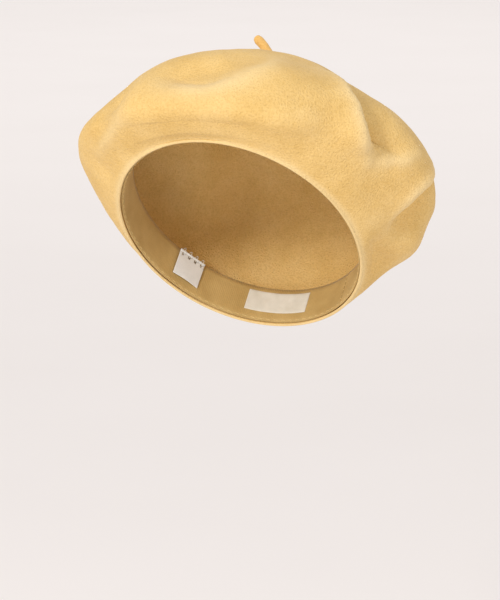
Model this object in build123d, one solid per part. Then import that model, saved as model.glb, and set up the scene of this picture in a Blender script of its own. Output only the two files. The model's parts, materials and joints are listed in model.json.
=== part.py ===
from build123d import *
import os
from math import atan2, cos, degrees, radians, sin

# A soft wool-felt beret, set as it sits on an upright head, in millimetres.
# +Z is up, -Y is the wearer's front and +X is the wearer's left.
# The origin is the centre of the head opening, in the plane of the felt's cut edge.
# Angles around the opening count from the wearer's front (0) by the left (90) to the back (180).

# Head opening, measured inside the sweatband
OPENING_WIDTH = 163.0
OPENING_LENGTH = 195.0
OPENING_TILT = 47.0  # the opening's back edge hangs this many degrees down

# Felt crown
FELT_THICKNESS = 2.2
CROWN_WIDTH = 246.0
CROWN_LENGTH = 240.0
CROWN_HEIGHT = 110.0  # the crown's centre above the origin
CROWN_SETBACK = 61.0  # the crown's centre behind the origin
CROWN_TOP_TILT = 24.0
RIM_HUG = 4.0  # length of felt that follows the ribbon before it flares
RIM_HUG_FLARE = 0.3

# Sweatband, a grosgrain ribbon
BAND_THICKNESS = 0.8
BAND_HEIGHT = 28.0
BAND_INSET = 0.8  # the ribbon's lower edge above the felt's cut edge
BAND_FELT_GAP = 0.2
BAND_JOIN_ANGLE = 138.0
BAND_JOIN_GAP = 0.6

# Stalk at the crown's centre
STALK_LENGTH = 24.5
STALK_DIAMETER = 6.4
STALK_NECK_DIAMETER = 5.0
STALK_BALL_DIAMETER = 6.8
STALK_CLEARANCE = 0.3
STALK_PIVOT_HEIGHT = 1.0  # above the felt's outer face
STALK_LEAN = 42.0  # towards the wearer's right
STALK_BEND = 16.0
CROWN_FLAT_MARGIN = 2.8  # flat of the crown around the hole for the stalk

# Thread and stitches
THREAD_DIAMETER = 0.5
SEAM_PITCH = 5.8
SEAM_STITCH_RADIUS = 2.5
SEAM_HEIGHT = 2.2  # above the felt's cut edge
JOIN_STITCH_COUNT = 6
JOIN_STITCH_RADIUS = 1.2
TACK_COUNT = 7
TACK_RADIUS = 2.0
TACK_EDGE_GAP = 0.3

# Blank woven label at the back of the sweatband
LABEL_WIDTH = 46.0
LABEL_HEIGHT = 17.0
LABEL_THICKNESS = 0.5
LABEL_GAP = 0.15
LABEL_ANGLE = 180.0
LABEL_RISE = 0.56  # share of the ribbon's height at the label's middle
LABEL_STITCHES_PER_SIDE = 4
LABEL_STITCH_RADIUS = 1.1
LABEL_STITCH_DEPTH = 0.3  # the stitches' ends below the ribbon's inner face
LABEL_THREAD_DIAMETER = 0.35
LABEL_STITCH_MARGIN = 1.8

# Blank care label, a flap that hangs from the sweatband's upper edge
CARE_ANGLE = 228.0
CARE_WIDTH = 22.0
CARE_LENGTH = 20.0
CARE_THICKNESS = 0.5
CARE_HEM_DIAMETER = 1.7
CARE_DROP = 1.2  # the hem's axis below the sweatband's upper edge
CARE_CLEARANCE = 0.4
CARE_STITCH_COUNT = 4
CARE_SLOT_CLEARANCE = 0.5

# One row for each ring that the crown passes through, from the underside to the centre:
# share of the way out to the full width and length, shift to the left in mm,
# share of the setback, share of the height, tilt in degrees.
UNDERSIDE_RINGS = [
    (0.22, 0.28, -0.5, 0.06, 0.047, 44.5),
    (0.58, 0.75, -1.0, 0.20, 0.155, 39.5),
    (1.00, 1.00, 3.0, 0.39, 0.364, 29.0),
]
# The same, with shares of the full width and length.
TOP_RINGS = [
    (0.80, 0.87, 11.0, 0.467, 0.690, 26.0),
    (0.57, 0.66, 4.5, 0.540, 0.877, 23.5),
    (0.33, 0.37, 8.0, 0.762, 0.982, 23.5),
]
CROWN_CENTRE_SHIFT = 3.0
RING_SPACING = 8.0

# Values worked out from the sizes above
band_half_width = OPENING_WIDTH / 2 + BAND_THICKNESS
band_half_length = OPENING_LENGTH / 2 + BAND_THICKNESS
rim_half_width = band_half_width + BAND_FELT_GAP + FELT_THICKNESS
rim_half_length = band_half_length + BAND_FELT_GAP + FELT_THICKNESS
crown_centre = (CROWN_CENTRE_SHIFT, CROWN_SETBACK, CROWN_HEIGHT)
stalk_ball_radius = STALK_BALL_DIAMETER / 2
hole_radius = stalk_ball_radius + STALK_CLEARANCE
crown_flat_radius = hole_radius + CROWN_FLAT_MARGIN
thread_radius = THREAD_DIAMETER / 2


def sloped_plane(centre, tilt):
    """Plane that falls towards the back by tilt degrees, with X to the left and Z into the crown."""
    return Plane(origin=centre, x_dir=(1, 0, 0), z_dir=(0, sin(radians(tilt)), cos(radians(tilt))))


opening_plane = sloped_plane((0, 0, 0), OPENING_TILT)
crown_plane = sloped_plane(crown_centre, CROWN_TOP_TILT)


def band_plane(angle, inset, height):
    """Plane on the sweatband's inner face: X along the ribbon, Y inwards, Z towards its upper edge."""
    turn = radians(angle)
    half_width = OPENING_WIDTH / 2
    half_length = OPENING_LENGTH / 2
    on_face = Vector(half_width * sin(turn), -half_length * cos(turn), height)
    inward = Vector(-sin(turn) / half_width, cos(turn) / half_length, 0).normalized()
    origin = opening_plane.from_local_coords(on_face + inward * inset)
    along = inward.cross(Vector(0, 0, 1))
    along_world = opening_plane.from_local_coords(along) - opening_plane.origin
    return Plane(origin=origin, x_dir=along_world, z_dir=opening_plane.z_dir)


def staple(plane, bend_radius, turn=0.0, thread=thread_radius):
    """Half ring of thread that stands out of a face along the plane's Y."""
    half_ring = Torus(bend_radius, thread, major_angle=180, align=None)
    return plane.location * (Rotation(0, turn, 0) * half_ring)


def elliptic_tube(half_width, half_length, wall, bottom, height):
    """Tube inside the opening, square to the opening's plane."""
    outline = Ellipse(half_width, half_length) - Ellipse(half_width - wall, half_length - wall)
    return extrude(opening_plane.offset(bottom) * outline, amount=height)


def given_rings():
    """Plane, half width and half length of each given ring on the felt's outer face."""
    full_half_width = CROWN_WIDTH / 2
    full_half_length = CROWN_LENGTH / 2
    rings = [(opening_plane, rim_half_width, rim_half_length)]
    hug_plane = opening_plane.offset(RIM_HUG)
    rings.append((hug_plane, rim_half_width + RIM_HUG_FLARE, rim_half_length + RIM_HUG_FLARE))
    for out_width, out_length, shift, setback, height, tilt in UNDERSIDE_RINGS:
        centre = (shift, setback * CROWN_SETBACK, height * CROWN_HEIGHT)
        half_width = rim_half_width + out_width * (full_half_width - rim_half_width)
        half_length = rim_half_length + out_length * (full_half_length - rim_half_length)
        rings.append((sloped_plane(centre, tilt), half_width, half_length))
    for share_width, share_length, shift, setback, height, tilt in TOP_RINGS:
        centre = (shift, setback * CROWN_SETBACK, height * CROWN_HEIGHT)
        half_width = share_width * full_half_width
        half_length = share_length * full_half_length
        rings.append((sloped_plane(centre, tilt), half_width, half_length))
    rings.append((crown_plane, crown_flat_radius, crown_flat_radius))
    return rings


def profile_points(rings):
    """Front and back points of the rings."""
    fronts = [plane.from_local_coords(Vector(0, -length, 0)) for plane, width, length in rings]
    backs = [plane.from_local_coords(Vector(0, length, 0)) for plane, width, length in rings]
    return fronts, backs


def ring_between(front, back, half_width):
    """Ring that spans a front and a back point."""
    across = back - front
    tilt = degrees(atan2(-across.Z, across.Y))
    return sloped_plane((front + back) / 2, tilt), half_width, across.length / 2


def slopes(knots, values):
    """Slope at each knot: the weighted mean of its two spans, or its one span at an end."""
    spans = [after - before for before, after in zip(knots, knots[1:])]
    rises = [(after - before) * (1 / span) for before, after, span in zip(values, values[1:], spans)]
    inner = []
    for index in range(len(spans) - 1):
        both = spans[index] + spans[index + 1]
        weighted = rises[index] * spans[index + 1] + rises[index + 1] * spans[index]
        inner.append(weighted * (1 / both))
    return [rises[0]] + inner + [rises[-1]]


def along_curve(knots, values, at):
    """Value on the smooth curve through the values at the knots."""
    index = max(number for number in range(len(knots) - 1) if knots[number] <= at)
    span = knots[index + 1] - knots[index]
    share = (at - knots[index]) / span
    start, end = slopes(knots, values)[index : index + 2]
    blend = share * share * (3 - 2 * share)
    leave = share * (1 - share) ** 2 * span
    arrive = share * share * (share - 1) * span
    return values[index] * (1 - blend) + values[index + 1] * blend + start * leave + end * arrive


def crown_rings():
    """Closely spaced rings from the rim to the centre, on smooth curves through the given rings."""
    rings = given_rings()
    fronts, backs = profile_points(rings)
    widths = [width for plane, width, length in rings]
    knots = [0.0]
    for index in range(1, len(rings)):
        front_step = (fronts[index] - fronts[index - 1]).length
        back_step = (backs[index] - backs[index - 1]).length
        knots.append(knots[-1] + (front_step + back_step) / 2)
    stops = [0.0]
    for before, after in zip(knots, knots[1:]):
        steps = max(1, round((after - before) / RING_SPACING))
        stops += [before + (after - before) * (step + 1) / steps for step in range(steps)]
    smooth = []
    for at in stops:
        front = along_curve(knots, fronts, at)
        back = along_curve(knots, backs, at)
        smooth.append(ring_between(front, back, along_curve(knots, widths, at)))
    return smooth


def inset_profile(points, side):
    """Inner points of a profile, moved square to it by the felt's thickness."""
    inset = []
    for before, point, after in zip(points, points[1:], points[2:]):
        run = (after - before).normalized()
        inset.append(point + Vector(0, -run.Z, run.Y) * side * FELT_THICKNESS)
    return inset


def inner_rings(rings):
    """Rings of the felt's inner face, from the rim to the centre."""
    fronts, backs = profile_points(rings)
    rim_plane, rim_width, rim_length = rings[0]
    inner = [(rim_plane, rim_width - FELT_THICKNESS, rim_length - FELT_THICKNESS)]
    profile = zip(inset_profile(fronts, -1), inset_profile(backs, 1))
    for index, (front, back) in enumerate(profile, start=1):
        before, ring, after = rings[index - 1], rings[index], rings[index + 1]
        rise = (after[0].origin - before[0].origin).dot(ring[0].z_dir)
        slope = Vector(after[1] - before[1], rise).normalized()
        inner.append(ring_between(front, back, ring[1] - FELT_THICKNESS * slope.Y))
    flat_plane, flat_width, flat_length = rings[-1]
    inner.append((flat_plane.offset(-FELT_THICKNESS), flat_width, flat_length))
    return inner


def crown_surface(rings):
    """Side faces of the body through the rings, and its end faces at the rim and the centre."""
    body = loft([plane * Ellipse(width, length) for plane, width, length in rings], ruled=True)
    sides = [face for face in body.faces() if face.geom_type != GeomType.PLANE]
    ends = [face for face in body.faces() if face.geom_type == GeomType.PLANE]
    rim_end, centre_end = sorted(ends, key=lambda face: face.area, reverse=True)
    return sides, rim_end, centre_end


def felt_body():
    """One-piece felt shell, open to the head, with a round hole for the stalk's root."""
    rings = crown_rings()
    outer_sides, outer_rim, outer_flat = crown_surface(rings)
    inner_sides, inner_rim, inner_flat = crown_surface(inner_rings(rings))
    inside_plane = crown_plane.offset(-FELT_THICKNESS)
    hole = Solid.make_cylinder(hole_radius, FELT_THICKNESS, plane=inside_plane)
    hole_wall = [face for face in hole.faces() if face.geom_type == GeomType.CYLINDER]
    cut_edge = Face(outer_rim.outer_wire(), [inner_rim.outer_wire()])
    outer_hole = Wire([Edge.make_circle(hole_radius, crown_plane)])
    inner_hole = Wire([Edge.make_circle(hole_radius, inside_plane)])
    flats = [Face(outer_flat.outer_wire(), [outer_hole]), Face(inner_flat.outer_wire(), [inner_hole])]
    return Solid(Shell(outer_sides + inner_sides + [cut_edge] + flats + hole_wall))


def stalk_pivot_plane():
    """Plane at the stalk's pivot: X to the wearer's left, Z out of the crown."""
    return crown_plane.offset(STALK_PIVOT_HEIGHT)


def stalk():
    """Short felt stem that bends towards the wearer's right, on a ball root."""
    pivot = stalk_pivot_plane()
    neck = STALK_NECK_DIAMETER / 2
    body = STALK_DIAMETER / 2
    stations = [
        (0.00, neck),
        (0.18, neck),
        (0.45, body * 0.96),
        (0.75, body),
        (0.92, body * 0.78),
        (1.00, body * 0.22),
    ]
    sections = []
    position = Vector(0, 0, 0)
    last_share = 0.0
    for share, radius in stations:
        lean = radians(STALK_LEAN + STALK_BEND * (share - 0.5))
        direction = Vector(-sin(lean), 0, cos(lean))
        position = position + direction * ((share - last_share) * STALK_LENGTH)
        last_share = share
        sections.append(pivot * (Plane(origin=position, x_dir=(0, 1, 0), z_dir=direction) * Circle(radius)))
    ball = Rotation(90, 0, 0) * Sphere(stalk_ball_radius)
    return pivot.location * ball + loft(sections)


def stalk_tack():
    """Ring of hand stitches inside the crown that holds the felt around the stalk's root."""
    stitches = []
    middle = crown_plane.offset(-FELT_THICKNESS / 2)
    circle_radius = hole_radius + TACK_EDGE_GAP + thread_radius + TACK_RADIUS
    for index in range(TACK_COUNT):
        spoke = middle.location * Rotation(0, 0, 360 * index / TACK_COUNT) * Pos(circle_radius, 0, 0)
        half_ring = Torus(TACK_RADIUS, thread_radius, major_angle=180, align=None)
        stitches.append(spoke * (Rotation(-90, 0, 0) * half_ring))
    return Compound(stitches)


def sweatband():
    """Ribbon that lines the opening, with a butt join on the left of the back."""
    ribbon = elliptic_tube(band_half_width, band_half_length, BAND_THICKNESS, BAND_INSET, BAND_HEIGHT)
    cut = Box(BAND_JOIN_GAP, 6 * BAND_THICKNESS, 3 * BAND_HEIGHT)
    return ribbon - band_plane(BAND_JOIN_ANGLE, 0, 0).location * cut


def band_seam():
    """Row of stitches along the ribbon's lower edge, through the ribbon and into the felt."""
    depth = BAND_THICKNESS + BAND_FELT_GAP + FELT_THICKNESS / 2
    path = Edge.make_ellipse(OPENING_WIDTH / 2 + depth, OPENING_LENGTH / 2 + depth)
    count = round(path.length / SEAM_PITCH)
    stitches = []
    for index in range(count):
        share = (index + 0.5) / count
        local_point = path.position_at(share) + Vector(0, 0, SEAM_HEIGHT)
        tangent = opening_plane.from_local_coords(path.tangent_at(share) * -1) - opening_plane.origin
        spot = Plane(
            origin=opening_plane.from_local_coords(local_point),
            x_dir=tangent,
            z_dir=opening_plane.z_dir * -1,
        )
        stitches.append(staple(spot, SEAM_STITCH_RADIUS))
    return Compound(stitches)


def band_join():
    """Stitches that bridge the ribbon's butt join."""
    stitches = []
    first = SEAM_HEIGHT + BAND_HEIGHT / (JOIN_STITCH_COUNT + 1)
    step = (BAND_HEIGHT + BAND_INSET - first) / JOIN_STITCH_COUNT
    for index in range(JOIN_STITCH_COUNT):
        spot = band_plane(BAND_JOIN_ANGLE, -BAND_THICKNESS, first + index * step)
        stitches.append(staple(spot, JOIN_STITCH_RADIUS))
    return Compound(stitches)


label_centre_height = BAND_INSET + BAND_HEIGHT * LABEL_RISE


def woven_label():
    """Blank label that follows the ribbon's inner face."""
    sleeve = elliptic_tube(
        OPENING_WIDTH / 2 - LABEL_GAP,
        OPENING_LENGTH / 2 - LABEL_GAP,
        LABEL_THICKNESS,
        label_centre_height - LABEL_HEIGHT / 2,
        LABEL_HEIGHT,
    )
    window = Box(LABEL_WIDTH, OPENING_LENGTH / 2, 2 * LABEL_HEIGHT)
    return sleeve & band_plane(LABEL_ANGLE, 0, label_centre_height).location * window


def label_stitches():
    """A column of stitches near each end of the label, through the label and the ribbon."""
    arc_per_degree = radians(1) * OPENING_WIDTH / 2
    stitches = []
    for side in (-1, 1):
        angle = LABEL_ANGLE + side * (LABEL_WIDTH / 2 - LABEL_STITCH_MARGIN) / arc_per_degree
        step = LABEL_HEIGHT / LABEL_STITCHES_PER_SIDE
        for index in range(LABEL_STITCHES_PER_SIDE):
            height = label_centre_height - LABEL_HEIGHT / 2 + (index + 0.5) * step
            spot = band_plane(angle, -LABEL_STITCH_DEPTH, height)
            stitches.append(staple(spot, LABEL_STITCH_RADIUS, 90, LABEL_THREAD_DIAMETER / 2))
    return Compound(stitches)


def care_hem_plane():
    """Plane on the care label's hem: X along the hem, Y into the opening, Z up."""
    tightest_radius = (OPENING_WIDTH / 2) ** 2 / (OPENING_LENGTH / 2)
    ribbon_rise = CARE_WIDTH**2 / (8 * tightest_radius)
    inset = ribbon_rise + CARE_CLEARANCE + CARE_HEM_DIAMETER / 2
    return band_plane(CARE_ANGLE, inset, BAND_INSET + BAND_HEIGHT - CARE_DROP), inset


care_ring_radius = care_hem_plane()[1] + BAND_THICKNESS / 2


def care_stitch_offsets():
    """Places of the care label's stitches along its hem."""
    step = CARE_WIDTH / CARE_STITCH_COUNT
    return [(index + 0.5) * step - CARE_WIDTH / 2 for index in range(CARE_STITCH_COUNT)]


def care_label():
    """Blank flap with a rolled hem and a slot for each loop of thread."""
    hem = Cylinder(CARE_HEM_DIAMETER / 2, CARE_WIDTH, rotation=(0, 90, 0))
    flap = Pos(0, 0, -CARE_LENGTH / 2) * Box(CARE_WIDTH, CARE_THICKNESS, CARE_LENGTH)
    label = hem + flap
    slot_length = care_ring_radius + thread_radius + CARE_SLOT_CLEARANCE - CARE_HEM_DIAMETER / 2
    slot_width = THREAD_DIAMETER + 2 * CARE_SLOT_CLEARANCE
    for offset in care_stitch_offsets():
        slot = Box(slot_width, 4 * CARE_THICKNESS, slot_length)
        label -= Pos(offset, 0, -CARE_HEM_DIAMETER / 2 - slot_length / 2) * slot
    return care_hem_plane()[0].location * label


def care_stitches():
    """Loops of thread around the care label's hem and through the ribbon."""
    hem_plane = care_hem_plane()[0]
    loops = []
    for offset in care_stitch_offsets():
        loop = Pos(offset, 0, 0) * (Rotation(0, 90, 0) * Torus(care_ring_radius, thread_radius))
        loops.append(hem_plane.location * loop)
    return Compound(loops)


NODES = {
    "felt_body": felt_body,
    "stalk": stalk,
    "stalk_tack": stalk_tack,
    "sweatband": sweatband,
    "band_seam": band_seam,
    "band_join": band_join,
    "woven_label": woven_label,
    "label_stitches": label_stitches,
    "care_label": care_label,
    "care_stitches": care_stitches,
}

os.makedirs("parts", exist_ok=True)
for name, build in NODES.items():
    export_step(build(), f"parts/{name}.step")
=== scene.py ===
import json
import math

import bpy
import numpy as np
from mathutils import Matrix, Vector, noise


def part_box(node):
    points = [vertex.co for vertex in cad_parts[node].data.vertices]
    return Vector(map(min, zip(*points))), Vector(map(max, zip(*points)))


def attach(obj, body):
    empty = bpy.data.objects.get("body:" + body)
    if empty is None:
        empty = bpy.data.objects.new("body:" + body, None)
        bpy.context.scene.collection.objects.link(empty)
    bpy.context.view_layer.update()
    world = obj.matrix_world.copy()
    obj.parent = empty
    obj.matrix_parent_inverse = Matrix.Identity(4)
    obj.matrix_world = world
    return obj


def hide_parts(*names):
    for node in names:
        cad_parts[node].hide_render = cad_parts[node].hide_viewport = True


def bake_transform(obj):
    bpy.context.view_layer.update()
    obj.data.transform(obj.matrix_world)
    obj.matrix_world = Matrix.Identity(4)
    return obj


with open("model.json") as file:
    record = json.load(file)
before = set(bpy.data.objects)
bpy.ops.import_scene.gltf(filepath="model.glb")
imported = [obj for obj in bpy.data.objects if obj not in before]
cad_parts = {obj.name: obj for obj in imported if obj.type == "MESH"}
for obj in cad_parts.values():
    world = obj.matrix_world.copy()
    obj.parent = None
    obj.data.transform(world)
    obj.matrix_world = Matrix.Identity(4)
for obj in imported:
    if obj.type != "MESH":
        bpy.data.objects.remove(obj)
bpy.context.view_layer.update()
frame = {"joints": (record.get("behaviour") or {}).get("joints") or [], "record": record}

# A felt beret in its worn pose. Lengths are in metres, unless a name or a comment says mm. Angles
# round the opening are in degrees and count from the wearer's front (0) by the left (90).
MM = 0.001

# ---------------------------------------------------------------- sizes from the frame
record = frame["record"]
mount = record["mounts"][0]
CENTRE = np.array(mount["pos_m"])
INTO_CROWN = -np.array(mount["axis"])
LEFT = np.array([1.0, 0.0, 0.0])
BACKWARD = np.cross(INTO_CROWN, LEFT)
joints = {joint["name"]: joint for joint in frame["joints"]}

band_low, band_high = (np.array(corner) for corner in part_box("sweatband"))
felt_low, felt_high = (np.array(corner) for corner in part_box("felt_body"))
BAND_THICKNESS = 0.0008
BAND_HEIGHT = 0.028
BAND_INSET = 0.0008
FELT_THICKNESS = 0.0022
FELT_BAND_GAP = 0.0002
OPENING_HALF_WIDTH = (band_high[0] - band_low[0]) / 2 - BAND_THICKNESS
OPENING_HALF_LENGTH = 0.0975
RIM_HALF_WIDTH = OPENING_HALF_WIDTH + BAND_THICKNESS + FELT_BAND_GAP + FELT_THICKNESS
RIM_HALF_LENGTH = OPENING_HALF_LENGTH + BAND_THICKNESS + FELT_BAND_GAP + FELT_THICKNESS
CROWN_HALF_WIDTH = 0.123
CROWN_HALF_LENGTH = 0.120
CROWN_HEIGHT = 0.110
CROWN_SETBACK = 0.061
CROWN_TOP_TILT = 24.0
CROWN_FLAT_RADIUS = 0.0065
CROWN_CENTRE_SHIFT = 0.003
OPENING_TILT = math.degrees(math.atan2(INTO_CROWN[1], INTO_CROWN[2]))

# ---------------------------------------------------------------- mesh helpers


def link(name, mesh):
    """Object for a mesh, in the scene."""
    piece = bpy.data.objects.new(name, mesh)
    bpy.context.scene.collection.objects.link(piece)
    return piece


def grid_faces(rows, columns, close_rows=False, close_columns=True, start=0):
    """Quads of a grid of rows by columns, numbered row by row."""
    row = np.arange(rows if close_rows else rows - 1)
    column = np.arange(columns if close_columns else columns - 1)
    row, column = np.meshgrid(row, column, indexing="ij")
    next_row = (row + 1) % rows
    next_column = (column + 1) % columns
    quads = np.stack(
        [
            row * columns + column,
            row * columns + next_column,
            next_row * columns + next_column,
            next_row * columns + column,
        ],
        axis=-1,
    )
    return quads.reshape(-1, 4) + start


def mesh_piece(name, points, faces, smooth=True):
    """Mesh object from points and faces."""
    mesh = bpy.data.meshes.new(name)
    mesh.from_pydata(np.asarray(points).reshape(-1, 3).tolist(), [], [list(map(int, face)) for face in faces])
    mesh.update()
    mesh.validate()
    if smooth:
        mesh.shade_smooth()
    else:
        mesh.shade_flat()
    return link(name, mesh)


def unit(vectors):
    """Vectors scaled to length one."""
    return vectors / np.maximum(np.linalg.norm(vectors, axis=-1, keepdims=True), 1e-12)


def in_opening(across, backward, height):
    """Place of points that are given in the opening's own axes."""
    across, backward, height = np.broadcast_arrays(across, backward, height)
    parts = across[..., None] * LEFT + backward[..., None] * BACKWARD + height[..., None] * INTO_CROWN
    return CENTRE + parts


# ---------------------------------------------------------------- felt surface
# Rings of the crown from rim to centre: share of the way out to full width and length, shift to the
# left in mm, share of the setback, share of the height, tilt in degrees.
UNDERSIDE_RINGS = [
    (0.22, 0.28, -0.5, 0.06, 0.047, 44.5),
    (0.58, 0.75, -1.0, 0.20, 0.155, 39.5),
    (1.00, 1.00, 3.0, 0.39, 0.364, 29.0),
]
# The same, with shares of the full width and length.
TOP_RINGS = [
    (0.80, 0.87, 11.0, 0.467, 0.690, 26.0),
    (0.57, 0.66, 4.5, 0.540, 0.877, 23.5),
    (0.33, 0.37, 8.0, 0.762, 0.982, 23.5),
]
FELT_HOLE_RADIUS = 0.0027
PUCKER_HEIGHT = 0.0007
CROWN_UP = np.array([0.0, math.sin(math.radians(CROWN_TOP_TILT)), math.cos(math.radians(CROWN_TOP_TILT))])
FELT_COLUMNS = 400
FELT_ROWS = 170

# Folds and dents of the worn felt. Each has a path of (degrees, share from rim to centre), its
# height in mm at each point of the path (outwards is positive), and its half width in mm.
FOLDS = [
    # front: full panel, the ridge along its top, the crease and the basin behind it
    ("soft", [(318, 0.12), (334, 0.155), (350, 0.16), (10, 0.18), (26, 0.19), (52, 0.16)],
     [1.0, 5.0, 7.0, 7.0, 5.5, 1.0], 17),
    ("crisp", [(345, 0.335), (352, 0.345), (358, 0.342), (3, 0.367), (9, 0.398), (16, 0.461), (33, 0.65)],
     [1.0, 3.3, 4.3, 4.2, 3.8, 3.2, 0.8], 12),
    ("crisp", [(343, 0.415), (348, 0.392), (353, 0.381), (358, 0.378), (4, 0.41)],
     [-1.0, -3.2, -4.0, -3.4, -1.0], 6),
    ("soft", [(345, 0.445), (352, 0.455), (0, 0.47), (10, 0.53)], [-6.0, -9.5, -8.0, -3.0], 16),
    # left side: long ridge, the valley behind it that ends in a pit, and the fold across its foot
    ("crisp", [(58, 0.68), (53, 0.558), (49, 0.448), (50, 0.401), (50, 0.351), (52, 0.301), (55, 0.248),
               (60, 0.200)],
     [0.8, 3.0, 4.6, 5.2, 5.4, 5.4, 5.0, 1.5], 9),
    ("crisp", [(58, 0.50), (56, 0.401), (57, 0.348), (59, 0.292), (61, 0.235), (64, 0.200)],
     [-1.5, -3.5, -5.0, -6.5, -6.5, -2.0], 9),
    ("soft", [(60, 0.48), (61, 0.38), (63, 0.30), (67, 0.27)], [-3.0, -7.5, -10.0, -7.5], 14),
    ("crisp", [(62, 0.178), (66, 0.212), (70, 0.25), (78, 0.325)], [1.5, 3.8, 4.2, 1.5], 8),
    # left rear: ridge and dent above the low corner, and the hollow under it
    ("crisp", [(94, 0.34), (87, 0.262), (85, 0.216), (86, 0.185), (88, 0.15), (90, 0.12)],
     [1.0, 4.4, 5.0, 4.6, 3.6, 1.2], 8),
    ("soft", [(99, 0.27), (97, 0.215), (97, 0.165)], [-6.0, -10.5, -8.0], 12),
    ("soft", [(112, 0.150), (122, 0.185)], [8.5, 7.0], 17),
    ("soft", [(112, 0.065), (101, 0.04)], [-8.0, -6.0], 13),
    # right front: lobe, ridge over the brow and hollows
    ("soft", [(336, 0.34)], [4.5], 20),
    ("soft", [(324, 0.335), (319, 0.28)], [-6.0, -5.0], 13),
    ("crisp", [(336, 0.26), (330, 0.195), (323, 0.145), (314, 0.118), (305, 0.115)],
     [0.8, 2.4, 3.2, 3.0, 1.0], 8),
    ("soft", [(300, 0.055), (312, 0.07)], [-4.0, -1.5], 13),
    ("soft", [(41, 0.25)], [-4.0], 15),
    # rear and top, where the spare cloth hangs
    ("soft", [(128, 0.42), (136, 0.33)], [-7.0, -6.0], 20),
    ("crisp", [(112, 0.50), (118, 0.38), (116, 0.27)], [1.0, 4.0, 2.0], 11),
    ("soft", [(176, 0.38), (186, 0.46)], [-6.5, -5.0], 24),
    ("crisp", [(150, 0.46), (154, 0.34), (150, 0.22)], [0.8, 4.4, 2.0], 12),
    ("soft", [(222, 0.35), (228, 0.45)], [-8.0, -5.0], 22),
    ("crisp", [(204, 0.50), (206, 0.36), (202, 0.22)], [0.8, 4.2, 1.6], 12),
    ("soft", [(268, 0.40), (276, 0.50)], [-7.5, -5.5], 22),
    ("crisp", [(248, 0.52), (249, 0.38), (246, 0.24)], [0.8, 4.4, 1.6], 11),
    ("soft", [(95, 0.60), (130, 0.66)], [-3.5, -4.0], 20),
    ("soft", [(230, 0.70), (290, 0.66)], [-3.5, -3.5], 20),
]


def slopes(knots, values):
    """Slope at each knot: the weighted mean of its two spans, or its one span at an end."""
    spans = np.diff(knots)[:, None]
    rises = np.diff(values, axis=0) / spans
    inner = (rises[:-1] * spans[1:] + rises[1:] * spans[:-1]) / (spans[1:] + spans[:-1])
    return np.vstack([rises[:1], inner, rises[-1:]])


def along_curve(knots, values, at):
    """Values at several places on the smooth curve through the values at the knots."""
    knots = np.asarray(knots, float)
    values = np.asarray(values, float).reshape(len(knots), -1)
    index = np.clip(np.searchsorted(knots, at, side="right") - 1, 0, len(knots) - 2)
    span = (knots[index + 1] - knots[index])[:, None]
    share = ((at - knots[index]) / span[:, 0])[:, None]
    slope = slopes(knots, values)
    blend = share * share * (3 - 2 * share)
    leave = share * (1 - share) ** 2 * span
    arrive = share * share * (share - 1) * span
    bent = slope[index] * leave + slope[index + 1] * arrive
    return values[index] * (1 - blend) + values[index + 1] * blend + bent


def crown_profiles():
    """Front and back points and half widths of the crown's rings, from the rim to the centre."""
    rings = [(RIM_HALF_WIDTH, RIM_HALF_LENGTH, np.zeros(3), OPENING_TILT)]
    for out_width, out_length, shift, setback, height, tilt in UNDERSIDE_RINGS:
        centre = np.array([shift * MM, setback * CROWN_SETBACK, height * CROWN_HEIGHT])
        half_width = RIM_HALF_WIDTH + out_width * (CROWN_HALF_WIDTH - RIM_HALF_WIDTH)
        half_length = RIM_HALF_LENGTH + out_length * (CROWN_HALF_LENGTH - RIM_HALF_LENGTH)
        rings.append((half_width, half_length, centre, tilt))
    for share_width, share_length, shift, setback, height, tilt in TOP_RINGS:
        centre = np.array([shift * MM, setback * CROWN_SETBACK, height * CROWN_HEIGHT])
        rings.append((share_width * CROWN_HALF_WIDTH, share_length * CROWN_HALF_LENGTH, centre, tilt))
    top = np.array([CROWN_CENTRE_SHIFT, CROWN_SETBACK, CROWN_HEIGHT])
    rings.append((CROWN_FLAT_RADIUS, CROWN_FLAT_RADIUS, top, CROWN_TOP_TILT))
    fronts, backs, widths = [], [], []
    for half_width, half_length, centre, tilt in rings:
        fall = math.radians(tilt)
        backward = np.array([0.0, math.cos(fall), -math.sin(fall)])
        fronts.append(centre - backward * half_length)
        backs.append(centre + backward * half_length)
        widths.append(half_width)
    return np.array(fronts), np.array(backs), np.array(widths)


def smooth_crown(rows, columns):
    """The crown's outer face with no folds, as a grid of points from the rim to the centre."""
    fronts, backs, widths = crown_profiles()
    front_steps = np.linalg.norm(np.diff(fronts, axis=0), axis=1)
    back_steps = np.linalg.norm(np.diff(backs, axis=0), axis=1)
    knots = np.concatenate([[0.0], np.cumsum((front_steps + back_steps) / 2)])
    at = np.linspace(0, 1, rows) ** 1.06 * knots[-1]
    front = along_curve(knots, fronts, at)[:, None]
    back = along_curve(knots, backs, at)[:, None]
    width = along_curve(knots, widths, at)[:, None]
    turn = np.linspace(0, 2 * math.pi, columns, endpoint=False)[None, :, None]
    middle = (front + back) / 2
    reach = (back - front) / 2
    points = middle - reach * np.cos(turn) + width * np.sin(turn) * LEFT
    return points, at / knots[-1]


def grid_normals(points):
    """Outward normals of a grid whose columns run round the crown."""
    along = np.roll(points, -1, axis=1) - np.roll(points, 1, axis=1)
    up = np.gradient(points, axis=0)
    return unit(np.cross(along, up))


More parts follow.
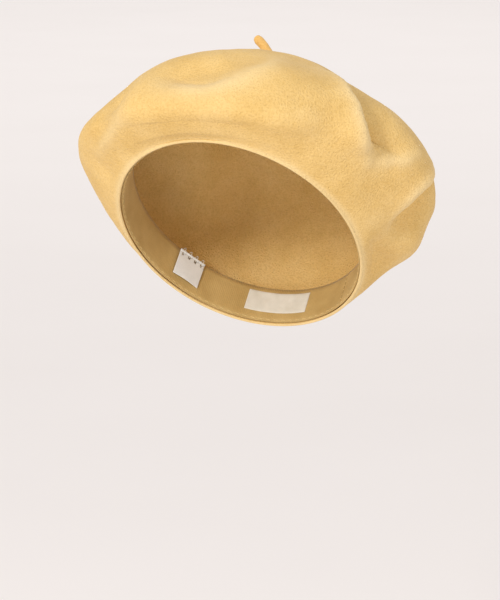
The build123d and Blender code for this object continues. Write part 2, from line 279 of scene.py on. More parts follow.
def on_grid(points, shares, path, count):
    """Points on the grid along a path of (degrees, share)."""
    angles = np.unwrap(np.radians([place[0] for place in path]))
    rises = np.array([place[1] for place in path])
    if len(path) == 1:
        angles, rises = np.repeat(angles, 2), np.repeat(rises, 2)
    steps = np.linspace(0, len(angles) - 1, count)
    marks = np.arange(len(angles), dtype=float)
    turn = along_curve(marks, angles, steps)[:, 0] % (2 * math.pi)
    rise = along_curve(marks, rises, steps)[:, 0]
    column = np.rint(turn / (2 * math.pi) * points.shape[1]).astype(int) % points.shape[1]
    row = np.searchsorted(shares, rise).clip(0, points.shape[0] - 1)
    return points[row, column], steps


def fold_heights(points, shares):
    """Height of all folds at each point of the grid, and how much painted sheen its sharp ridges get, 0 to 1.
    """
    flat = points.reshape(-1, 3)
    total = np.zeros(len(flat))
    painted_sheen_mask = np.zeros(len(flat))
    for kind, path, heights, half_width in FOLDS:
        places, steps = on_grid(points, shares, path, 8 * len(path) + 8)
        marks = np.arange(max(len(heights), 2), dtype=float)
        values = np.array(heights * 2 if len(heights) == 1 else heights, float)
        levels = np.interp(steps, marks, values) * MM
        gap = np.linalg.norm(flat[:, None] - places[None], axis=2)
        nearest = gap.argmin(axis=1)
        distance = gap[np.arange(len(flat)), nearest] / (half_width * MM)
        if kind == "crisp":
            shape = np.exp(-(np.sqrt(distance**2 + 0.09) - 0.3) * 1.5)
        else:
            shape = np.exp(-(distance**2))
        soft_level = np.exp(-(gap / (0.6 * half_width * MM)) ** 2)
        level = (soft_level * levels).sum(axis=1) / np.maximum(soft_level.sum(axis=1), 1e-9)
        level = np.where(soft_level.sum(axis=1) > 1e-6, level, levels[nearest])
        total += shape * level
        if kind == "crisp":
            painted_sheen_mask += np.exp(-((distance * 1.7) ** 2)) * np.clip(level / (5 * MM), 0, 1)
    return total.reshape(points.shape[:2]), np.clip(painted_sheen_mask, 0, 1).reshape(points.shape[:2])


def cloth_unevenness(points):
    """Low random waves of hand-worn felt, in metres."""
    waves = ((38.0, 0.9), (85.0, 0.35), (210.0, 0.10))
    flat = points.reshape(-1, 3)
    rise = np.zeros(len(flat))
    for per_metre, height in waves:
        rise += [noise.noise(Vector(point * per_metre)) * height for point in flat]
    return rise.reshape(points.shape[:2]) * MM


# Shares of the way from the rim to the centre: over which the folds fade in at the rim and out at the
# centre, over which the felt's thickness lies in the opening's plane, and that the painted sheen on the cut
# edge reaches.
FOLDS_FADE_IN = 0.05
FOLDS_FADE_OUT = 0.08
RIM_STRETCH = 0.02
LIP_REACH = 0.012
# How strong the painted highlight on the cut edge is, and the rows that close the crown round the stalk.
LIP_PAINTED_SHEEN = 0.8
PUCKER_ROWS = 4


def felt_grids():
    """Outer and inner face of the felt, from the rim to the centre, and the painted sheen of its ridges and
    cut edge.
    """
    smooth, shares = smooth_crown(FELT_ROWS, FELT_COLUMNS)
    normals = grid_normals(smooth)
    folds, painted_sheen_mask = fold_heights(smooth, shares)
    lift = folds + cloth_unevenness(smooth)
    from_rim = np.clip(shares / FOLDS_FADE_IN, 0, 1)[:, None]
    from_centre = np.clip((1 - shares) / FOLDS_FADE_OUT, 0, 1)[:, None]
    lift = lift * from_rim * from_centre
    outer = smooth + normals * lift[..., None]
    outward = grid_normals(outer)
    outward[shares < RIM_STRETCH] = unit(smooth[0] - CENTRE)[None]
    inner = outer - outward * FELT_THICKNESS
    lip = np.exp(-((shares / LIP_REACH) ** 2))[:, None]
    painted_sheen_mask = np.maximum(painted_sheen_mask, lip * LIP_PAINTED_SHEEN)
    top = np.array([CROWN_CENTRE_SHIFT, CROWN_SETBACK, CROWN_HEIGHT])
    pucker = np.linspace(0, 1, PUCKER_ROWS + 1)[1:, None, None]
    shrink = 1 - pucker * (1 - FELT_HOLE_RADIUS / CROWN_FLAT_RADIUS)
    rise = CROWN_UP * PUCKER_HEIGHT * pucker**2
    under = top - CROWN_UP * FELT_THICKNESS
    outer = np.concatenate([outer, top + (outer[-1] - top) * shrink + rise])
    inner = np.concatenate([inner, under + (inner[-1] - under) * shrink + rise])
    painted_sheen_mask = np.concatenate([painted_sheen_mask, np.zeros((PUCKER_ROWS, FELT_COLUMNS))])
    return outer, inner, painted_sheen_mask


def felt_body():
    """Closed mesh of the felt: outer face, rounded cut edge, inner face and the hole for the stalk."""
    outer, inner, painted_sheen_mask = felt_grids()
    edge_turns = np.radians([30, 60, 90, 120, 150])
    middle = (outer[0] + inner[0]) / 2
    across = (outer[0] - inner[0]) / 2
    down = -INTO_CROWN * FELT_THICKNESS / 2
    roll = [middle + across * math.cos(turn) + down * math.sin(turn) for turn in edge_turns]
    rows = np.concatenate([outer[::-1], np.array(roll), inner])
    faces = grid_faces(rows.shape[0], rows.shape[1], close_rows=True)
    piece = mesh_piece("felt_crown", rows, faces)
    # Painted highlight: the ridges and the cut edge carry a pale painted sheen, stored on the points.
    edge = np.repeat(LIP_PAINTED_SHEEN, len(roll) * rows.shape[1])
    pale = np.concatenate([painted_sheen_mask[::-1].ravel(), edge, np.zeros(inner[..., 0].size)])
    piece.data.attributes.new("painted_sheen", "FLOAT", "POINT").data.foreach_set("value", pale.astype(np.float32))
    return piece


# ---------------------------------------------------------------- thread


def tube(path, radius, sides=8, closed=False):
    """Points and faces of a round tube along a path, with capped ends unless it is closed."""
    path = np.asarray(path)
    count = len(path)
    ahead = np.roll(path, -1, axis=0) - np.roll(path, 1, axis=0)
    if not closed:
        ahead[0] = path[1] - path[0]
        ahead[-1] = path[-1] - path[-2]
    ahead = unit(ahead)
    side = np.zeros_like(path)
    guess = np.array([0.31, 0.57, 0.76])
    side[0] = unit(np.cross(ahead[0], guess))
    for index in range(1, count):
        carried = side[index - 1] - ahead[index] * side[index - 1].dot(ahead[index])
        side[index] = unit(carried)
    up = np.cross(ahead, side)
    turn = np.linspace(0, 2 * math.pi, sides, endpoint=False)
    radii = np.broadcast_to(radius, (count,))[:, None, None]
    ring = side[:, None] * np.cos(turn)[None, :, None] + up[:, None] * np.sin(turn)[None, :, None]
    points = (path[:, None] + ring * radii).reshape(-1, 3)
    faces = grid_faces(count, sides, close_rows=closed).tolist()
    if not closed:
        faces.append(list(range(sides))[::-1])
        faces.append(list(range((count - 1) * sides, count * sides)))
    return points, faces


def twisted(path, thread_radius, turns, closed=False, plies=2):
    """Points and faces of a thread of twisted plies along a path."""
    path = np.asarray(path)
    ahead = unit(np.gradient(path, axis=0))
    guess = unit(np.cross(ahead, unit(path - path.mean(axis=0)) + 1e-4))
    other = np.cross(ahead, guess)
    points, faces = [], []
    spin = np.linspace(0, turns * 2 * math.pi, len(path), endpoint=not closed)
    for ply in range(plies):
        phase = spin + ply * 2 * math.pi / plies
        offset = guess * np.cos(phase)[:, None] + other * np.sin(phase)[:, None]
        more, more_faces = tube(path + offset * thread_radius * 0.5, thread_radius * 0.58, 6, closed)
        base = sum(len(part) for part in points)
        points.append(more)
        faces += [[corner + base for corner in face] for face in more_faces]
    return np.concatenate(points), faces


def joined(name, parts):
    """One mesh object from several (points, faces) pairs."""
    points, faces, base = [], [], 0
    for more, more_faces in parts:
        points.append(more)
        faces += [[corner + base for corner in face] for face in more_faces]
        base += len(more)
    return mesh_piece(name, np.concatenate(points), faces)


def half_ring(centre, along, inward, radius, thread_radius=0.00025, turns=4):
    """A stitch that stands out of a face: half a ring of twisted thread."""
    turn = np.linspace(0, math.pi, 22)[:, None]
    path = centre + radius * (np.cos(turn) * along + np.sin(turn) * inward)
    return twisted(path, thread_radius, turns)


# ---------------------------------------------------------------- band and stitches


def band_spot(degrees, inset, height):
    """Place on the ribbon's inner face with its directions along the ribbon and inwards."""
    turn = math.radians(degrees)
    across = math.sin(turn) / OPENING_HALF_WIDTH
    backward = -math.cos(turn) / OPENING_HALF_LENGTH
    size = math.hypot(across, backward)
    across, backward = across / size, backward / size
    place = in_opening(
        OPENING_HALF_WIDTH * math.sin(turn) - across * inset,
        -OPENING_HALF_LENGTH * math.cos(turn) - backward * inset,
        height,
    )
    inward = -(LEFT * across + BACKWARD * backward)
    along = np.cross(inward, INTO_CROWN)
    return place, along, inward


def even_turns(half_width, half_length, count, offset=0.5):
    """Angles from the wearer's left that divide an ellipse into even lengths."""
    turn = np.linspace(0, 2 * math.pi, 4001)
    steps = np.hypot(half_width * np.sin(turn), half_length * np.cos(turn))
    length = np.concatenate([[0], np.cumsum((steps[1:] + steps[:-1]) / 2 * np.diff(turn))])
    shares = (np.arange(count) + offset) / count
    return np.interp(shares * length[-1], length, turn)


BAND_JOIN_DEGREES = 138.0
BAND_JOIN_GAP = 0.0006
RIB_COUNT = 430
RIB_SAMPLES = 6
RIB_HEIGHT = 0.00013
RIB_STAND_OFF = 0.00012
PICOT_HEIGHT = 0.00035


def sweatband():
    """Grosgrain ribbon with ribs across its width and small loops along both edges."""
    turn = even_turns(OPENING_HALF_WIDTH, OPENING_HALF_LENGTH, RIB_COUNT * RIB_SAMPLES)
    start = math.radians(BAND_JOIN_DEGREES - 90)
    gap = BAND_JOIN_GAP / OPENING_HALF_WIDTH
    order = np.argsort((turn - start) % (2 * math.pi))
    turn = turn[order]
    away = (turn - start) % (2 * math.pi)
    keep = (away > gap / 2) & (away < 2 * math.pi - gap / 2)
    turn = turn[keep]
    phase = np.arange(len(turn)) / RIB_SAMPLES * 2 * math.pi
    rib = np.cos(phase)
    outward = np.stack([np.cos(turn) / OPENING_HALF_WIDTH, np.sin(turn) / OPENING_HALF_LENGTH], axis=1)
    outward = unit(outward)
    base = np.stack([OPENING_HALF_WIDTH * np.cos(turn), OPENING_HALF_LENGTH * np.sin(turn)], axis=1)
    picot = PICOT_HEIGHT * (0.5 + 0.5 * rib)
    bottom, top = BAND_INSET, BAND_INSET + BAND_HEIGHT
    rows = []
    heights = np.linspace(0, 1, 9)
    for height in heights:
        level = bottom + height * (top - bottom)
        edge = math.sin(math.pi * height) ** 0.2 if 0 < height < 1 else 0.0
        inset = RIB_HEIGHT * (rib * 0.5 + 0.5) * edge + RIB_STAND_OFF * edge
        level = level - picot * (height == 0) + picot * (height == 1)
        place = base - outward * inset[:, None]
        rows.append(in_opening(place[:, 0], place[:, 1], level))
    for height in heights[::-1]:
        level = bottom + height * (top - bottom)
        level = level - picot * (height == 0) + picot * (height == 1)
        place = base + outward * (BAND_THICKNESS - RIB_HEIGHT * (0.5 - 0.5 * rib))[:, None]
        rows.append(in_opening(place[:, 0], place[:, 1], level))
    rows = np.array(rows)
    faces = grid_faces(rows.shape[0], rows.shape[1], close_rows=True, close_columns=False).tolist()
    columns = rows.shape[1]
    faces.append([row * columns for row in range(rows.shape[0])])
    faces.append([row * columns + columns - 1 for row in range(rows.shape[0])][::-1])
    return mesh_piece("grosgrain_band", rows, faces)


SEAM_PITCH = 0.0058
SEAM_RADIUS = 0.0025
SEAM_HEIGHT = 0.0022
SEAM_SLANT = 0.12


def band_seam():
    """Row of stitches through the ribbon's lower edge into the felt."""
    depth = BAND_THICKNESS + FELT_BAND_GAP + FELT_THICKNESS / 2
    half_width, half_length = OPENING_HALF_WIDTH + depth, OPENING_HALF_LENGTH + depth
    around = np.linspace(0, 2 * math.pi, 4001)
    length = np.hypot(half_width * np.sin(around), half_length * np.cos(around)).mean() * 2 * math.pi
    count = round(length / SEAM_PITCH)
    parts = []
    for turn in even_turns(half_width, half_length, count):
        centre = in_opening(half_width * math.cos(turn), half_length * math.sin(turn), SEAM_HEIGHT)
        along = unit(-half_width * math.sin(turn) * LEFT + half_length * math.cos(turn) * BACKWARD)
        inward = np.cross(INTO_CROWN, along)
        slant = unit(along + INTO_CROWN * SEAM_SLANT)
        parts.append(half_ring(centre, slant, inward, SEAM_RADIUS))
    return joined("seam_stitches", parts)


JOIN_COUNT = 6
JOIN_RADIUS = 0.0012
JOIN_SLANT = 0.2


def band_join():
    """Stitches that bridge the ribbon's butt join."""
    first = SEAM_HEIGHT + BAND_HEIGHT / (JOIN_COUNT + 1)
    step = (BAND_HEIGHT + BAND_INSET - first) / JOIN_COUNT
    parts = []
    for index in range(JOIN_COUNT):
        centre, along, inward = band_spot(BAND_JOIN_DEGREES, -BAND_THICKNESS, first + index * step)
        parts.append(half_ring(centre, unit(along + INTO_CROWN * JOIN_SLANT), inward, JOIN_RADIUS))
    return joined("join_stitches", parts)


# ---------------------------------------------------------------- labels
LABEL_WIDTH = 0.046
LABEL_HEIGHT = 0.017
LABEL_THICKNESS = 0.0005
LABEL_GAP = 0.00015
LABEL_DEGREES = 180.0
LABEL_CENTRE_HEIGHT = BAND_INSET + BAND_HEIGHT * 0.56
LABEL_STITCH_ROWS = 4
LABEL_STITCH_RADIUS = 0.0011
LABEL_STITCH_MARGIN = 0.0018
LABEL_STITCH_DEPTH = 0.0003
LABEL_STITCH_SLANT = 0.15
LABEL_THREAD_RADIUS = 0.00017
LABEL_RIPPLE = 0.00007
LABEL_FACE_RISE = 0.0001


def woven_label():
    """Blank label on the ribbon, a slab that thins towards its edges, with a slight ripple."""
    columns, rows = 93, 35
    across = np.linspace(-1, 1, columns)
    up = np.linspace(-1, 1, rows)
    spread = np.degrees(LABEL_WIDTH / 2 / OPENING_HALF_WIDTH)
    front, back = [], []
    for rise in up:
        for run in across:
            height = LABEL_CENTRE_HEIGHT + rise * LABEL_HEIGHT / 2
            edge = min(1.0, (1 - abs(run)) * 10, (1 - abs(rise)) * 5)
            ripple = LABEL_RIPPLE * math.sin(run * 19) * math.cos(rise * 3.1)
            puff = LABEL_THICKNESS * (0.45 + 0.55 * edge**0.5) + ripple * edge
            outer, along, inward = band_spot(LABEL_DEGREES + run * spread, LABEL_GAP + RIB_HEIGHT, height)
            back.append(outer)
            front.append(outer + inward * (puff + LABEL_FACE_RISE))
    count = columns * rows
    faces = grid_faces(rows, columns, close_columns=False).tolist()
    faces += [[corner + count for corner in face][::-1] for face in faces]
    ring = list(range(columns))
    ring += [row * columns + columns - 1 for row in range(1, rows)]
    ring += [(rows - 1) * columns + column for column in range(columns - 2, -1, -1)]
    ring += [row * columns for row in range(rows - 2, 0, -1)]
    for start, end in zip(ring, ring[1:] + ring[:1]):
        faces.append([end, start, start + count, end + count])
    return mesh_piece("blank_label", np.array(front + back), faces)


def label_stitches():
    """A column of stitches near each end of the woven label."""
    parts = []
    degree = math.radians(1) * OPENING_HALF_WIDTH
    for side in (-1, 1):
        angle = LABEL_DEGREES + side * (LABEL_WIDTH / 2 - LABEL_STITCH_MARGIN) / degree
        step = LABEL_HEIGHT / LABEL_STITCH_ROWS
        for index in range(LABEL_STITCH_ROWS):
            height = LABEL_CENTRE_HEIGHT - LABEL_HEIGHT / 2 + (index + 0.5) * step
            centre, along, inward = band_spot(angle, -LABEL_STITCH_DEPTH, height)
            slant = unit(INTO_CROWN + along * LABEL_STITCH_SLANT)
            parts.append(half_ring(centre, slant, inward, LABEL_STITCH_RADIUS, LABEL_THREAD_RADIUS))
    return joined("label_threads", parts)


CARE_WIDTH = 0.022
CARE_LENGTH = 0.020
CARE_THICKNESS = 0.0004
CARE_HEM_RADIUS = 0.00085
CARE_STITCHES = 4
CARE_RING_THREAD = 0.00025
CARE_SLOT_CLEARANCE = 0.0005
CARE_CELL = 0.0005
CARE_CURL = 0.0009
CARE_LEAN = 0.0005
CARE_BOW = 0.0004

hinge = joints["care_label_swing"]
HEM = np.array(hinge["pos_m"])
HEM_ALONG = np.array(hinge["axis"])
HEM_DOWN = -INTO_CROWN
HEM_INWARD = unit(np.cross(HEM_ALONG, HEM_DOWN))
CARE_INSET = CARE_WIDTH**2 / (8 * OPENING_HALF_WIDTH**2 / OPENING_HALF_LENGTH) + 0.0004 + CARE_HEM_RADIUS
CARE_RING_RADIUS = CARE_INSET + BAND_THICKNESS / 2


def care_label():
    """Satin flap with a rolled hem and a slot at each loop of thread."""
    step = CARE_CELL
    columns, rows = round(CARE_WIDTH / step), round(CARE_LENGTH / step)
    half_slot = CARE_RING_THREAD + CARE_SLOT_CLEARANCE
    slot_end = CARE_RING_RADIUS + CARE_RING_THREAD + CARE_SLOT_CLEARANCE
    pitch = CARE_WIDTH / CARE_STITCHES
    places = {}
    points, faces = [], []

    def corner(column, row, face):
        key = (column, row, face)
        if key not in places:
            run = column * step - CARE_WIDTH / 2
            drop = row * step
            share = drop / CARE_LENGTH
            curl = CARE_CURL * share**2 * math.cos(run * 150) - CARE_LEAN * share
            bow = CARE_BOW * math.sin(share * math.pi) * math.cos(run * 95)
            offset = curl + bow + (face - 0.5) * CARE_THICKNESS
            places[key] = len(points)
            points.append(HEM + HEM_ALONG * run + HEM_DOWN * drop + HEM_INWARD * offset)
        return places[key]

    def is_cloth(column, row):
        if not (0 <= column < columns and 0 <= row < rows):
            return False
        run = (column + 0.5) * step - CARE_WIDTH / 2
        drop = (row + 0.5) * step
        from_stitch = abs((run + CARE_WIDTH / 2) % pitch - pitch / 2)
        return not (from_stitch < half_slot + step / 2 and CARE_HEM_RADIUS < drop < slot_end + step / 2)

    for column in range(columns):
        for row in range(rows):
            if not is_cloth(column, row):
                continue
            around = [(column, row), (column + 1, row), (column + 1, row + 1), (column, row + 1)]
            faces.append([corner(x, y, 1) for x, y in around])
            faces.append([corner(x, y, 0) for x, y in around][::-1])
            beside = [(column, row - 1), (column + 1, row), (column, row + 1), (column - 1, row)]
            for index, (x, y) in enumerate(beside):
                if not is_cloth(x, y):
                    start, end = around[index], around[(index + 1) % 4]
                    faces.append([corner(*end, 1), corner(*start, 1), corner(*start, 0), corner(*end, 0)])
    hem_steps = np.linspace(-CARE_WIDTH / 2, CARE_WIDTH / 2, 45)
    hem_radii = CARE_HEM_RADIUS * (1 - 0.06 * np.cos(hem_steps * 1400))
    hem = tube(HEM + hem_steps[:, None] * HEM_ALONG, hem_radii, 20)
    return joined("satin_flap", [(np.array(points), faces), hem])


def care_stitches():
    """Loops of thread round the care label's hem and through the ribbon's upper edge."""
    parts = []
    pitch = CARE_WIDTH / CARE_STITCHES
    turn = np.linspace(0, 2 * math.pi, 40, endpoint=False)[:, None]
    for index in range(CARE_STITCHES):
        centre = HEM + HEM_ALONG * ((index + 0.5) * pitch - CARE_WIDTH / 2)
        path = centre + CARE_RING_RADIUS * (np.cos(turn) * HEM_DOWN + np.sin(turn) * HEM_INWARD)
        parts.append(tube(path, CARE_RING_THREAD, 8, closed=True))
    return joined("flap_threads", parts)


# ---------------------------------------------------------------- stalk
PIVOT = np.array(joints["stalk_tilt"]["pos_m"])
STALK_LENGTH = 0.0262
STALK_LEAN = 42.0
STALK_BEND = 16.0
STALK_ROOT = 0.0030
STALK_DROP = 0.0006
STALK_LUMPS = 0.00028
# share of the length, radius in mm
STALK_SHAPE = [
    (0.0, 3.1), (0.10, 2.75), (0.25, 2.6), (0.5, 3.0), (0.75, 3.2), (0.9, 2.9), (0.97, 1.9), (1.0, 0.3),
]


def stalk():
    """Rolled felt stem, a little uneven, with a rounded tip and a root sunk in the crown."""
    rows, sides = 64, 40
    shares = np.concatenate([np.linspace(0, 0.85, rows - 20), 1 - 0.15 * np.linspace(1, 0, 21)[1:] ** 2])
    marks = [share for share, radius in STALK_SHAPE]
    radii = along_curve(marks, [radius for share, radius in STALK_SHAPE], shares)[:, 0] * MM
    right = -LEFT
    place = PIVOT - CROWN_UP * STALK_DROP
    centres, directions = [], []
    last = 0.0
    for share in shares:
        lean = math.radians(STALK_LEAN + STALK_BEND * (share - 0.5)) * min(1.0, 0.35 + share * 4)
        direction = CROWN_UP * math.cos(lean) + right * math.sin(lean)
        place = place + direction * (share - last) * STALK_LENGTH
        last = share
        centres.append(place)
        directions.append(direction)
    root_centres = [PIVOT - CROWN_UP * depth for depth in (STALK_ROOT, STALK_ROOT * 0.75, STALK_ROOT * 0.5)]
    centres = np.array(root_centres + centres)
    directions = np.array([CROWN_UP] * 3 + directions)
    radii = np.concatenate([[radii[0] * 0.98] * 3, radii])
    side = unit(np.cross(directions, np.broadcast_to(np.cross(CROWN_UP, right), directions.shape)))
    other = np.cross(directions, side)
    turn = np.linspace(0, 2 * math.pi, sides, endpoint=False)[None, :, None]
    ring = side[:, None] * np.cos(turn) + other[:, None] * np.sin(turn)
    points = centres[:, None] + ring * radii[:, None, None]
    lumps = [noise.noise(Vector(point * 260)) * STALK_LUMPS for point in points.reshape(-1, 3)]
    lumps = np.array(lumps).reshape(points.shape[:2])
    lumps *= np.clip(radii / 0.003, 0, 1)[:, None]
    points = points + ring * lumps[..., None]
    faces = grid_faces(points.shape[0], sides).tolist()
    faces.append(list(range(sides))[::-1])
    faces.append([(points.shape[0] - 1) * sides + corner for corner in range(sides)])
    return mesh_piece("stalk_stem", points, faces)


TACK_COUNT = 7
TACK_RADIUS = 0.0020
TACK_CIRCLE = 0.00625


def stalk_tack():
    """Ring of hand stitches inside the crown around the stalk's root."""
    parts = []
    middle = np.array([CROWN_CENTRE_SHIFT, CROWN_SETBACK, CROWN_HEIGHT]) - CROWN_UP * FELT_THICKNESS / 2
    backward = np.cross(CROWN_UP, LEFT)
    for index in range(TACK_COUNT):
        turn = 2 * math.pi * index / TACK_COUNT
        spoke = LEFT * math.cos(turn) + backward * math.sin(turn)
        parts.append(half_ring(middle + spoke * TACK_CIRCLE, spoke, -CROWN_UP, TACK_RADIUS))
    return joined("root_stitches", parts)


# ---------------------------------------------------------------- materials


class Shader:
    """A node material under construction."""

    def __init__(self, name, roughness, sheen=0.0, sheen_roughness=0.5, sheen_tint=(1, 1, 1), specular=0.3):
        self.material = bpy.data.materials.new(name)
        self.material.use_nodes = True
        self.nodes = self.material.node_tree.nodes
        self.links = self.material.node_tree.links
        self.surface = self.nodes["Principled BSDF"]
        inputs = self.surface.inputs
        inputs["Roughness"].default_value = roughness
        inputs["Sheen Weight"].default_value = sheen
        inputs["Sheen Roughness"].default_value = sheen_roughness
        inputs["Sheen Tint"].default_value = (*sheen_tint, 1)
        inputs["Specular IOR Level"].default_value = specular
        self.place = self.nodes.new("ShaderNodeTexCoord").outputs["Object"]

    def add(self, kind, inputs=None, **settings):
        """A node with its settings and inputs, where an input is a value or another node's output."""
        node = self.nodes.new(kind)
        for key, value in settings.items():
            setattr(node, key, value)
        for key, value in (inputs or {}).items():
            if isinstance(value, bpy.types.NodeSocket):
                self.links.new(value, node.inputs[key])
            else:
                node.inputs[key].default_value = value
        return node

    def noise(self, scale, detail=2.0, roughness=0.5, stretch=None):
        """Noise in metres: scale is its cells to the metre."""
        place = self.place
        if stretch:
            place = self.add("ShaderNodeMapping", {"Vector": place, "Scale": stretch}).outputs["Vector"]
        inputs = {"Vector": place, "Scale": scale, "Detail": detail, "Roughness": roughness}
        return self.add("ShaderNodeTexNoise", inputs).outputs["Fac"]

    def colours(self, factor, stops):
        """Colour ramp over a factor."""
        ramp = self.add("ShaderNodeValToRGB", {"Fac": factor})
        elements = ramp.color_ramp.elements
        while len(elements) < len(stops):
            elements.new(0.5)
        for element, (position, colour) in zip(elements, stops):
            element.position = position
            element.color = (*colour, 1)
        return ramp.outputs["Color"]

    def mix(self, factor, first, second, blend="MIX"):
        """Mix of two colours."""
        node = self.add("ShaderNodeMix", data_type="RGBA", blend_type=blend)
        for socket, value in ((node.inputs[0], factor), (node.inputs[6], first), (node.inputs[7], second)):
            if isinstance(value, bpy.types.NodeSocket):
                self.links.new(value, socket)
            else:
                socket.default_value = value
        return node.outputs[2]

    def bump(self, height, strength, distance, below=None):
        """Bump over an optional bump below."""
        inputs = {"Height": height, "Strength": strength, "Distance": distance}
        if below is not None:
            inputs["Normal"] = below
        return self.add("ShaderNodeBump", inputs).outputs["Normal"]

    def done(self, colour, normal):
        """The finished material."""
        self.links.new(colour, self.surface.inputs["Base Color"])
        self.links.new(normal, self.surface.inputs["Normal"])
        return self.material


# Painted highlight: pale colour and strength of the painted sheen on the felt's ridges and cut edge.
PAINTED_SHEEN_COLOUR = (0.88, 0.70, 0.40)
PAINTED_SHEEN_STRENGTH = 0.55


def felt_material(name, deep, middle, pale, grain=1.0):
    """Fulled wool felt: pebbled nap with painted shade in its hollows, mottled dye, sheen, and a pale painted
    highlight on its ridges and edge.
    """
    shader = Shader(name, 0.92, sheen=0.18, sheen_roughness=0.32, sheen_tint=(1.0, 0.93, 0.78), specular=0.12)
    pebbles = shader.noise(780, 2.0, 0.5)
    fibres = shader.noise(1500, 3.0, 0.6, stretch=(1.0, 1.6, 1.0))
    blotches = shader.noise(34, 3.0, 0.55)
    specks = shader.noise(700, 2.0, 0.6)
    base = shader.colours(blotches, [(0.30, deep), (0.52, middle), (0.74, pale)])
    flecks = shader.colours(specks, [(0.36, deep), (0.5, middle), (0.66, pale)])
    colour = shader.mix(0.30, base, flecks)
    # Painted shade: the pebble hollows are darkened in the colour, on top of their bump.
    painted_pebble_shade = shader.colours(pebbles, [(0.34, (0.84, 0.80, 0.72)), (0.54, (1.0, 1.0, 1.0))])
    colour = shader.mix(0.55 * grain, colour, painted_pebble_shade, "MULTIPLY")
    # Painted highlight: ridges and cut edge are mixed towards a pale colour by the painted sheen attribute.
    painted_sheen = shader.add("ShaderNodeAttribute", attribute_name="painted_sheen").outputs["Fac"]
    painted_sheen = shader.add("ShaderNodeMath", {0: painted_sheen, 1: PAINTED_SHEEN_STRENGTH}, operation="MULTIPLY").outputs[0]
    colour = shader.mix(painted_sheen, colour, (*PAINTED_SHEEN_COLOUR, 1))
    low = shader.bump(pebbles, 0.7 * grain, 0.0015)
    return shader.done(colour, shader.bump(fibres, 0.32 * grain, 0.0005, low))


def ribbon_material(name, deep, pale):
    """Grosgrain ribbon: fine threads over the ribs, with a slight sheen."""
    shader = Shader(name, 0.62, sheen=0.25, sheen_roughness=0.35, sheen_tint=(1.0, 0.92, 0.75), specular=0.28)
    threads = shader.noise(1900, 1.0, 0.5, stretch=(1.0, 1.0, 1.0))
    blotches = shader.noise(60, 2.0)
    stops = [(0.3, deep), (0.7, pale)]
    colour = shader.mix(0.4, shader.colours(blotches, stops), shader.colours(threads, stops))
    return shader.done(colour, shader.bump(threads, 0.35, 0.0003))


def thread_material(name, deep, pale):
    """Twisted sewing thread."""
    shader = Shader(name, 0.55, sheen=0.2, sheen_roughness=0.3, specular=0.3)
    fibres = shader.noise(5200, 2.0, 0.6)
    return shader.done(shader.colours(fibres, [(0.3, deep), (0.7, pale)]), shader.bump(fibres, 0.4, 0.0001))


def weave_material(name, deep, pale, roughness, per_metre, sheen):
    """Close woven label cloth: crossed threads."""
    shader = Shader(name, roughness, sheen=sheen, sheen_roughness=0.3, specular=0.3)
    waves = []
    for direction in ("X", "Z"):
        inputs = {"Vector": shader.place, "Scale": per_metre, "Distortion": 0.4, "Detail": 1.0}
        wave = shader.add("ShaderNodeTexWave", inputs, wave_type="BANDS", bands_direction=direction)
        waves.append(wave.outputs["Fac"])
    crossed = shader.add("ShaderNodeMath", {0: waves[0], 1: waves[1]}, operation="MULTIPLY").outputs[0]
    tint = shader.colours(shader.noise(90, 2.0), [(0.3, deep), (0.7, pale)])
    colour = shader.mix(0.35, tint, shader.colours(crossed, [(0.0, deep), (0.8, pale)]))
    return shader.done(colour, shader.bump(crossed, 0.5, 0.00015))


FELT_DEEP = (0.705, 0.455, 0.150)
FELT_MIDDLE = (0.790, 0.535, 0.205)
FELT_PALE = (0.840, 0.595, 0.260)
STALK_DEEP = (0.72, 0.42, 0.125)
STALK_MIDDLE = (0.82, 0.505, 0.170)
STALK_PALE = (0.88, 0.58, 0.225)

materials = {
    "felt": felt_material("wool_felt", FELT_DEEP, FELT_MIDDLE, FELT_PALE),
    "felt_stalk": felt_material("stalk_felt", STALK_DEEP, STALK_MIDDLE, STALK_PALE, 0.7),
    "felt_thread": thread_material("wool_thread", (0.52, 0.33, 0.09), (0.72, 0.50, 0.18)),
    "ribbon": ribbon_material("grosgrain", (0.44, 0.28, 0.09), (0.60, 0.41, 0.16)),
    "ribbon_thread": thread_material("seam_thread", (0.62, 0.42, 0.14), (0.84, 0.64, 0.30)),
    "label_cloth": weave_material("label_weave", (0.66, 0.61, 0.50), (0.84, 0.80, 0.71), 0.8, 700, 0.15),
    "label_thread": thread_material("label_thread", (0.60, 0.56, 0.46), (0.82, 0.78, 0.68)),
    "satin": weave_material("satin_weave", (0.74, 0.73, 0.70), (0.90, 0.89, 0.86), 0.42, 1100, 0.1),
}

# ---------------------------------------------------------------- pieces on their bodies
# builder, CAD node it stands for, body
PIECES = [
    (felt_body, "felt_body", "root"),
    (sweatband, "sweatband", "root"),
    (band_seam, "band_seam", "root"),
    (band_join, "band_join", "root"),
    (woven_label, "woven_label", "root"),
    (label_stitches, "label_stitches", "root"),
    (care_stitches, "care_stitches", "root"),
    (stalk_tack, "stalk_tack", "root"),
    (care_label, "care_label", "care_label"),
]
slots = {subpart["node"]: subpart["material_slot"] for subpart in record["subparts"]}
for builder, node, body in PIECES:
    piece = builder()
    piece.data.materials.append(materials[slots[node]])
    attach(piece, body)
    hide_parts(node)

stem = stalk()
stem.data.materials.append(materials["felt_stalk"])
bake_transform(stem)
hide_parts("stalk")

# ---------------------------------------------------------------- floor, light and camera
CAMERA_TURN = math.radians(20.0)
CAMERA_FALL = math.radians(10.3)
CAMERA_DISTANCE = 2.0
AIM_RIGHT = 0.0068
AIM_UP = -0.0432
LENS_MM = 177.6
SENSOR_MM = 36.0

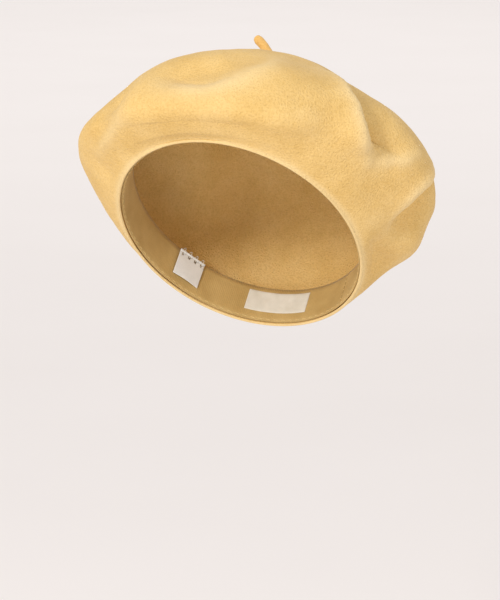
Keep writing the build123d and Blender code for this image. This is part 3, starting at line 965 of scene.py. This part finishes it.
cos_turn, sin_turn = math.cos(CAMERA_TURN), math.sin(CAMERA_TURN)
cos_fall, sin_fall = math.cos(CAMERA_FALL), math.sin(CAMERA_FALL)
view_right = np.array([cos_turn, sin_turn, 0.0])
view_ahead = np.array([-sin_turn * cos_fall, cos_turn * cos_fall, -sin_fall])
view_up = np.cross(view_right, view_ahead)


def look_at(item, place, target):
    """Puts a camera or light at a place, facing a target."""
    item.location = Vector(place)
    item.rotation_euler = (Vector(target) - Vector(place)).to_track_quat("-Z", "Y").to_euler()


camera_data = bpy.data.cameras.new("camera")
camera_data.lens = LENS_MM
camera_data.sensor_width = SENSOR_MM
camera = bpy.data.objects.new("camera", camera_data)
bpy.context.scene.collection.objects.link(camera)
aim = CENTRE + view_right * AIM_RIGHT + view_up * AIM_UP
look_at(camera, aim - view_ahead * CAMERA_DISTANCE, aim)
bpy.context.scene.camera = camera

FLOOR_DROP = 0.39
FLOOR_REACH = 14
FLOOR_DEEP = (0.905, 0.862, 0.845)
FLOOR_PALE = (0.92, 0.878, 0.862)
floor_corners = [(-1, -1), (1, -1), (1, 1), (-1, 1)]
floor_points = [(x * FLOOR_REACH, y * FLOOR_REACH, felt_low[2] - FLOOR_DROP) for x, y in floor_corners]
floor = mesh_piece("floor", floor_points, [[0, 1, 2, 3]], smooth=False)
paint = Shader("floor_paint", 0.9, specular=0.1)
paint_tint = paint.colours(paint.noise(3.0), [(0.2, FLOOR_DEEP), (0.8, FLOOR_PALE)])
paint_bump = paint.bump(paint.noise(90), 0.05, 0.001)
floor.data.materials.append(paint.done(paint_tint, paint_bump))

# name, place as right, up and back from the hat in the camera's own axes, size, watts, colour
LIGHTS = [
    ("key", (-1.05, 0.65, 1.9), 0.55, 29, (1.0, 0.985, 0.96)),
    ("fill", (1.7, 0.1, 1.3), 1.8, 6, (1.0, 0.985, 0.97)),
]
crown_middle = (felt_low + felt_high) / 2
for name, (right_of, above, back_from), size, watts, colour in LIGHTS:
    light_data = bpy.data.lights.new(name, "AREA")
    light_data.shape = "DISK"
    light_data.size = size
    light_data.energy = watts
    light_data.color = colour
    light = bpy.data.objects.new(name, light_data)
    bpy.context.scene.collection.objects.link(light)
    place = crown_middle + view_right * right_of + view_up * above - view_ahead * back_from
    look_at(light, place, crown_middle)

# A large soft light above the floor behind the hat, which faces straight down.
BACKDROP_SIZE = (5, 8)
BACKDROP_WATTS = 62
BACKDROP_DISTANCE = 6.0
BACKDROP_HEIGHT = 2.6
backdrop_data = bpy.data.lights.new("backdrop", "AREA")
backdrop_data.shape = "RECTANGLE"
backdrop_data.size, backdrop_data.size_y = BACKDROP_SIZE
backdrop_data.energy = BACKDROP_WATTS
backdrop = bpy.data.objects.new("backdrop", backdrop_data)
bpy.context.scene.collection.objects.link(backdrop)
behind = np.array([-sin_turn, cos_turn, 0.0]) * BACKDROP_DISTANCE + np.array([0.0, 0.0, BACKDROP_HEIGHT])
look_at(backdrop, behind, behind - np.array([0.0, 0.0, 1.0]))
backdrop.rotation_euler.z = CAMERA_TURN

WORLD_COLOUR = (1.0, 0.975, 0.96)
WORLD_STRENGTH = 0.72
world = bpy.data.worlds.new("studio")
world.use_nodes = True
background = world.node_tree.nodes["Background"]
background.inputs["Color"].default_value = (*WORLD_COLOUR, 1)
background.inputs["Strength"].default_value = WORLD_STRENGTH
bpy.context.scene.world = world
bpy.context.scene.view_settings.view_transform = "Standard"
